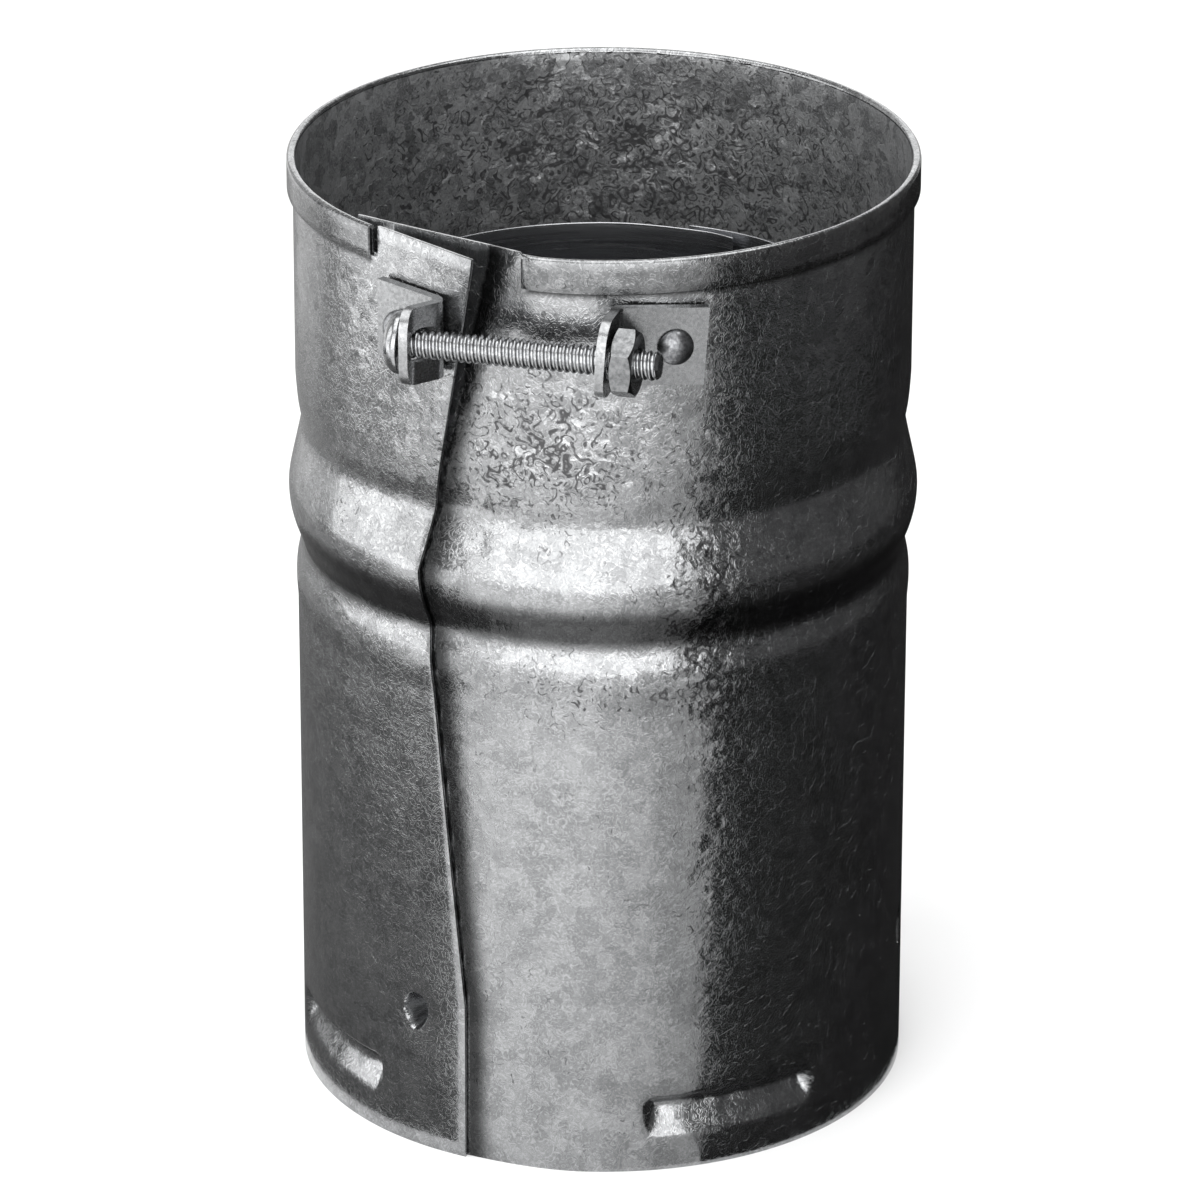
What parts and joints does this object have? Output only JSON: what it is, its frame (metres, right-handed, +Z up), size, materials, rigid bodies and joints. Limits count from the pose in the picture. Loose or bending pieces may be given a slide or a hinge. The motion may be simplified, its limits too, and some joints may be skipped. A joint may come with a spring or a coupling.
{
  "type": "gas vent adapter",
  "caption": "Round double-wall sheet-metal vent adapter with a rolled outer shell, an inner flue liner and a screw clamp collar at the top.",
  "frame": {"origin": "centre of the shell's foot circle, on the plane that the adapter stands on", "axes": "+Z up along the flue axis towards the clamp collar, -Y towards the clamp screw, +X along the screw from its head to its nut"},
  "size_m": [0.091, 0.099, 0.1408],
  "materials": {
    "galvanised_sheet": "hot-dip galvanised sheet with a small spangle",
    "liner_aluminium": "mill finish rolled sheet",
    "bracket_steel": "zinc-coated pressed steel",
    "rivet_steel": "plated, rounded head",
    "screw_steel": "bright plated, rolled thread",
    "nut_steel": "bright plated"
  },
  "bodies": {
    "shell": {"outer_shell": "galvanised_sheet", "inner_liner": "liner_aluminium", "screw_bracket": "bracket_steel", "nut_bracket": "bracket_steel", "screw_bracket_rivet": "rivet_steel", "nut_bracket_rivet": "rivet_steel"},
    "screw": {"clamp_screw": "screw_steel"},
    "nut": {"clamp_nut": "nut_steel"}
  },
  "joints": [
    {"name": "clamp_screw_turn", "type": "hinge", "parent": "shell", "child": "screw", "pos_m": [0, -0.0491, 0.1283], "axis": [-1, 0, 0], "range_deg": [0, 1080]},
    {"name": "clamp_nut_travel", "type": "slide", "parent": "shell", "child": "nut", "axis": [1, 0, 0], "range_m": [0, 0.003]}
  ],
  "couplings": [
    {"joint": "clamp_screw_turn", "follows": "clamp_nut_travel", "rad_per_m": 6283.2}
  ]
}
